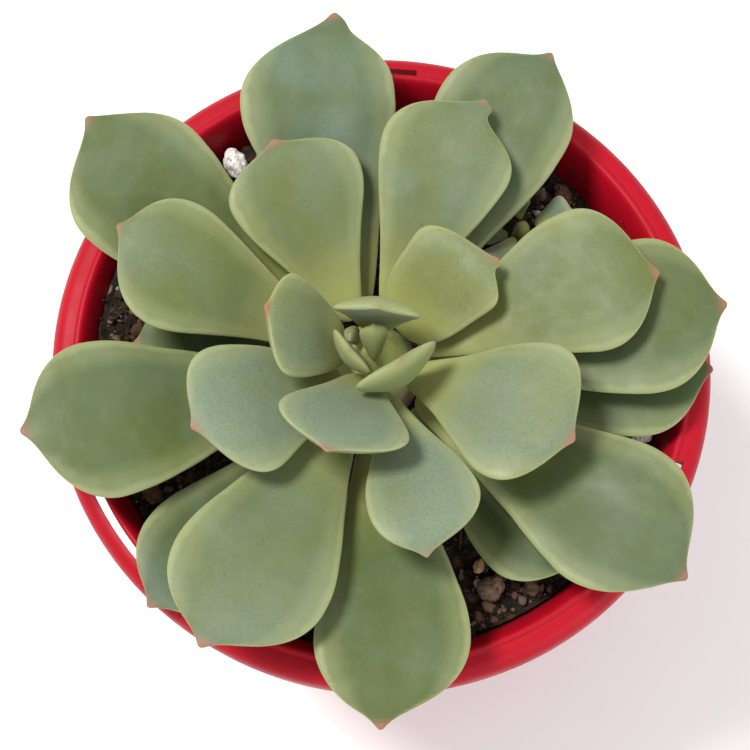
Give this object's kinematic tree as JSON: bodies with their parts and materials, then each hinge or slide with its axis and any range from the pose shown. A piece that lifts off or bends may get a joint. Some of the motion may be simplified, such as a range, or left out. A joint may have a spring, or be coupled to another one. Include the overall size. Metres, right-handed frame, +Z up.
{
  "type": "potted succulent",
  "caption": "Rosette succulent with thick pointed leaves in overlapping rings and a young offset, in a round glossy plastic pot with a rolled rim.",
  "frame": {"origin": "centre of the pad under the pot, on the surface that it stands on", "axes": "+Z up along the pot's axis; +Y towards the top of a picture taken from above with the long hanger slot at its lower left"},
  "size_m": [0.1231, 0.1301, 0.1242],
  "materials": {
    "red_plastic": "glossy moulded plastic",
    "potting_mix": "loose dark peat and bark",
    "stem_skin": "fleshy stem, corky below",
    "leaf_green": "waxy bloom on thick leaf skin",
    "leaf_pale": "waxy bloom on young leaf skin",
    "perlite": "porous white grain",
    "tan_stone": "matte",
    "grey_stone": "matte",
    "bark": "rough"
  },
  "bodies": {
    "root": {"bark_chip_1": "bark", "bark_chip_2": "bark", "bark_chip_3": "bark", "leaf_bowl_1": "leaf_pale", "leaf_bud_1": "leaf_pale", "leaf_ground_1": "leaf_green", "leaf_ground_2": "leaf_green", "leaf_ground_3": "leaf_green", "leaf_ground_4": "leaf_green", "leaf_heart_1": "leaf_pale", "leaf_heart_2": "leaf_pale", "leaf_inner_1": "leaf_green", "leaf_inner_2": "leaf_green", "leaf_middle_1": "leaf_green", "leaf_middle_2": "leaf_green", "leaf_middle_3": "leaf_green", "leaf_middle_4": "leaf_green", "leaf_middle_5": "leaf_green", "leaf_outer_1": "leaf_green", "leaf_outer_2": "leaf_green", "leaf_outer_3": "leaf_green", "leaf_outer_4": "leaf_green", "leaf_outer_5": "leaf_green", "leaf_outer_6": "leaf_green", "leaf_outer_7": "leaf_green", "leaf_tip_1": "leaf_pale", "leaf_upper_1": "leaf_green", "leaf_upper_2": "leaf_green", "leaf_upper_3": "leaf_green", "leaf_upper_4": "leaf_green", "offset_leaf_1": "leaf_pale", "offset_leaf_2": "leaf_pale", "offset_leaf_3": "leaf_pale", "offset_leaf_4": "leaf_pale", "offset_leaf_5": "leaf_pale", "offset_stem": "stem_skin", "pebble_1": "tan_stone", "pebble_2": "grey_stone", "pebble_3": "grey_stone", "perlite_1": "perlite", "perlite_2": "perlite", "pot": "red_plastic", "soil": "potting_mix", "stem": "stem_skin"}
  },
  "joints": []
}
